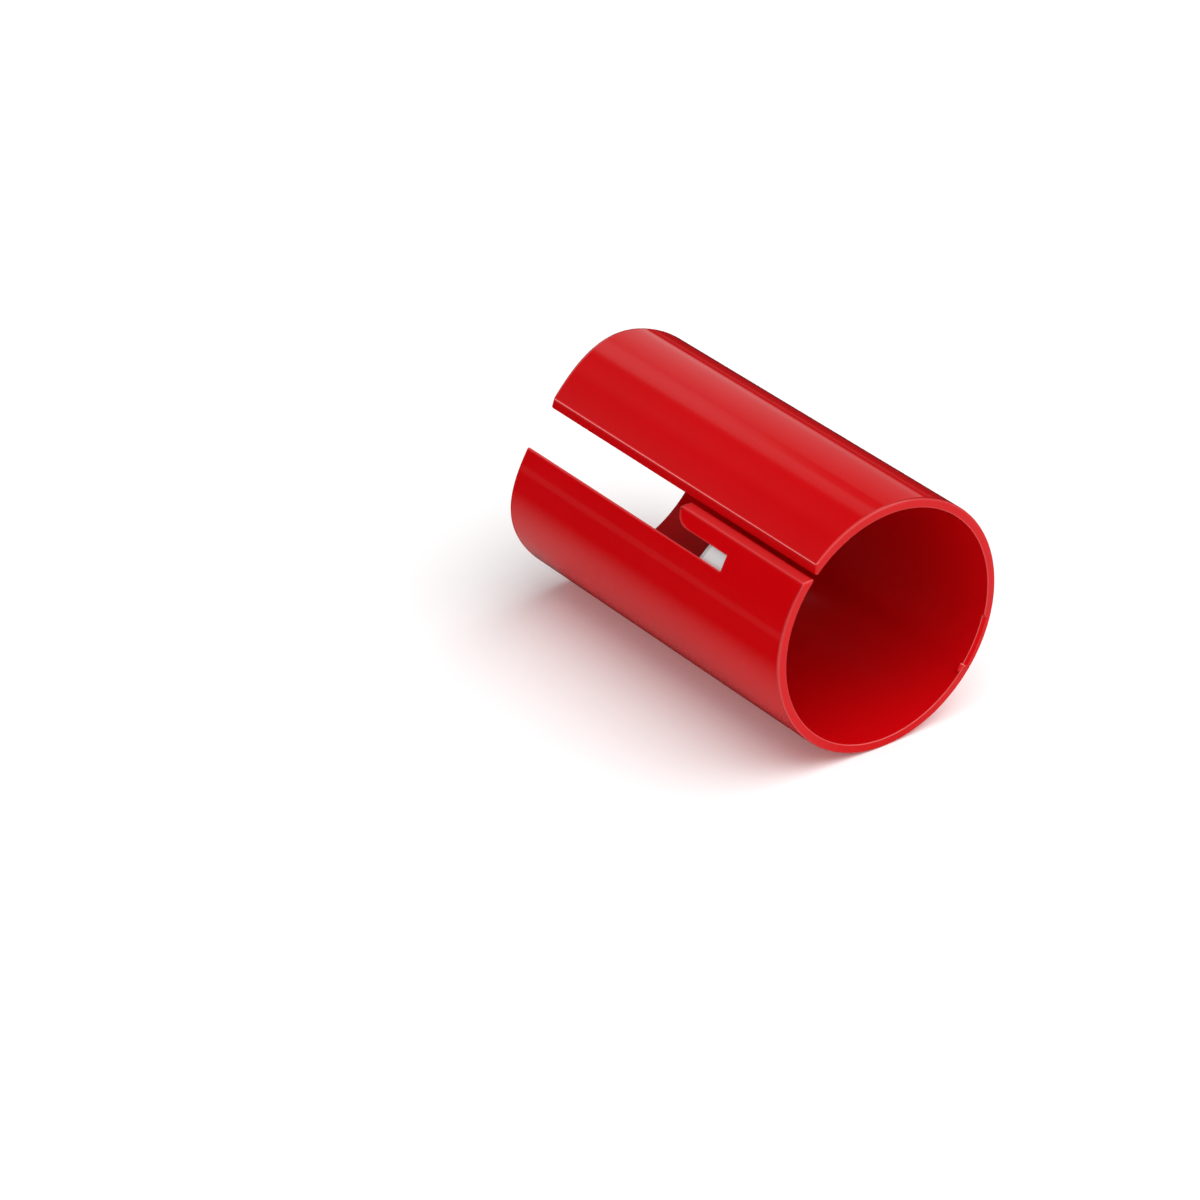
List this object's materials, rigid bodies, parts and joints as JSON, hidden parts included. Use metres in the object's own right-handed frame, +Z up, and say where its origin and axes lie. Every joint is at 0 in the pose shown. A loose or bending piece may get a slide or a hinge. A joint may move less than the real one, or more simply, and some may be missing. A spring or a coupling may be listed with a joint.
{
  "type": "wrapping paper cutter",
  "caption": "Slotted plastic sleeve that slides along a roll of wrapping paper; the sheet comes out of a lengthwise window and meets a small fixed blade in a narrow throat.",
  "frame": {"origin": "on the bore's axis, at the square end of the tube", "axes": "+X along the tube's axis, out of the square end, so the tube runs towards -X; +Z up as it lies in the picture, with the slit up and towards -Y; +Y completes the right-handed frame"},
  "size_m": [0.0855, 0.051, 0.051],
  "materials": {
    "tube_red": "glossy, injection moulded",
    "blade_steel": "ground",
    "retainer_red": "semi-gloss"
  },
  "bodies": {
    "root": {"cutter_tube": "tube_red", "blade": "blade_steel", "blade_retainer": "retainer_red"}
  },
  "joints": []
}
